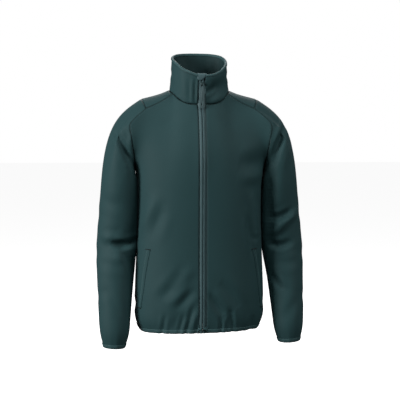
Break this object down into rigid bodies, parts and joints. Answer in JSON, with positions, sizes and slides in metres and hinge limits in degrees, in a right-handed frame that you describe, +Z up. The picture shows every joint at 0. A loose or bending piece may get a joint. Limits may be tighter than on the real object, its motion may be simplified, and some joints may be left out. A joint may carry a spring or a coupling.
{
  "type": "zip fleece jacket",
  "caption": "Fleece jacket with a full-length front zip, stand collar, shaped shoulder pieces, long sleeves, side pockets and narrow bound edges, filled out as worn.",
  "frame": {"origin": "middle of the neck, level with the sides of the neck seam, where the wearer's shoulders carry the jacket", "axes": "+Z up, the front faces -Y, the wearer's left is +X"},
  "size_m": [0.6087, 0.2459, 0.8568],
  "materials": {
    "fleece": "matte brushed knit",
    "binding": "smooth elastic knit",
    "zip_tape": "woven tape",
    "slider": "satin enamel",
    "pull": "matte moulded"
  },
  "bodies": {
    "jacket": {"front_right": "fleece", "front_left": "fleece", "back": "fleece", "shoulder_right": "fleece", "shoulder_left": "fleece", "sleeve_right": "fleece", "sleeve_left": "fleece", "collar_outer": "fleece", "collar_inner": "fleece", "collar_edge": "binding", "hem_edge": "binding", "cuff_right": "binding", "cuff_left": "binding", "zip_tape_right": "zip_tape", "zip_tape_left": "zip_tape", "zip_garage": "fleece", "zip_slider": "slider", "pocket_right": "fleece", "pocket_left": "fleece", "pocket_zip_right": "zip_tape", "pocket_zip_left": "zip_tape"},
    "pull": {"zip_pull": "pull"}
  },
  "joints": [
    {"name": "pull_hinge", "type": "hinge", "parent": "jacket", "child": "pull", "pos_m": [0, -0.09038, 0.025], "axis": [-1, 0, 0], "range_deg": [0, 150]}
  ]
}
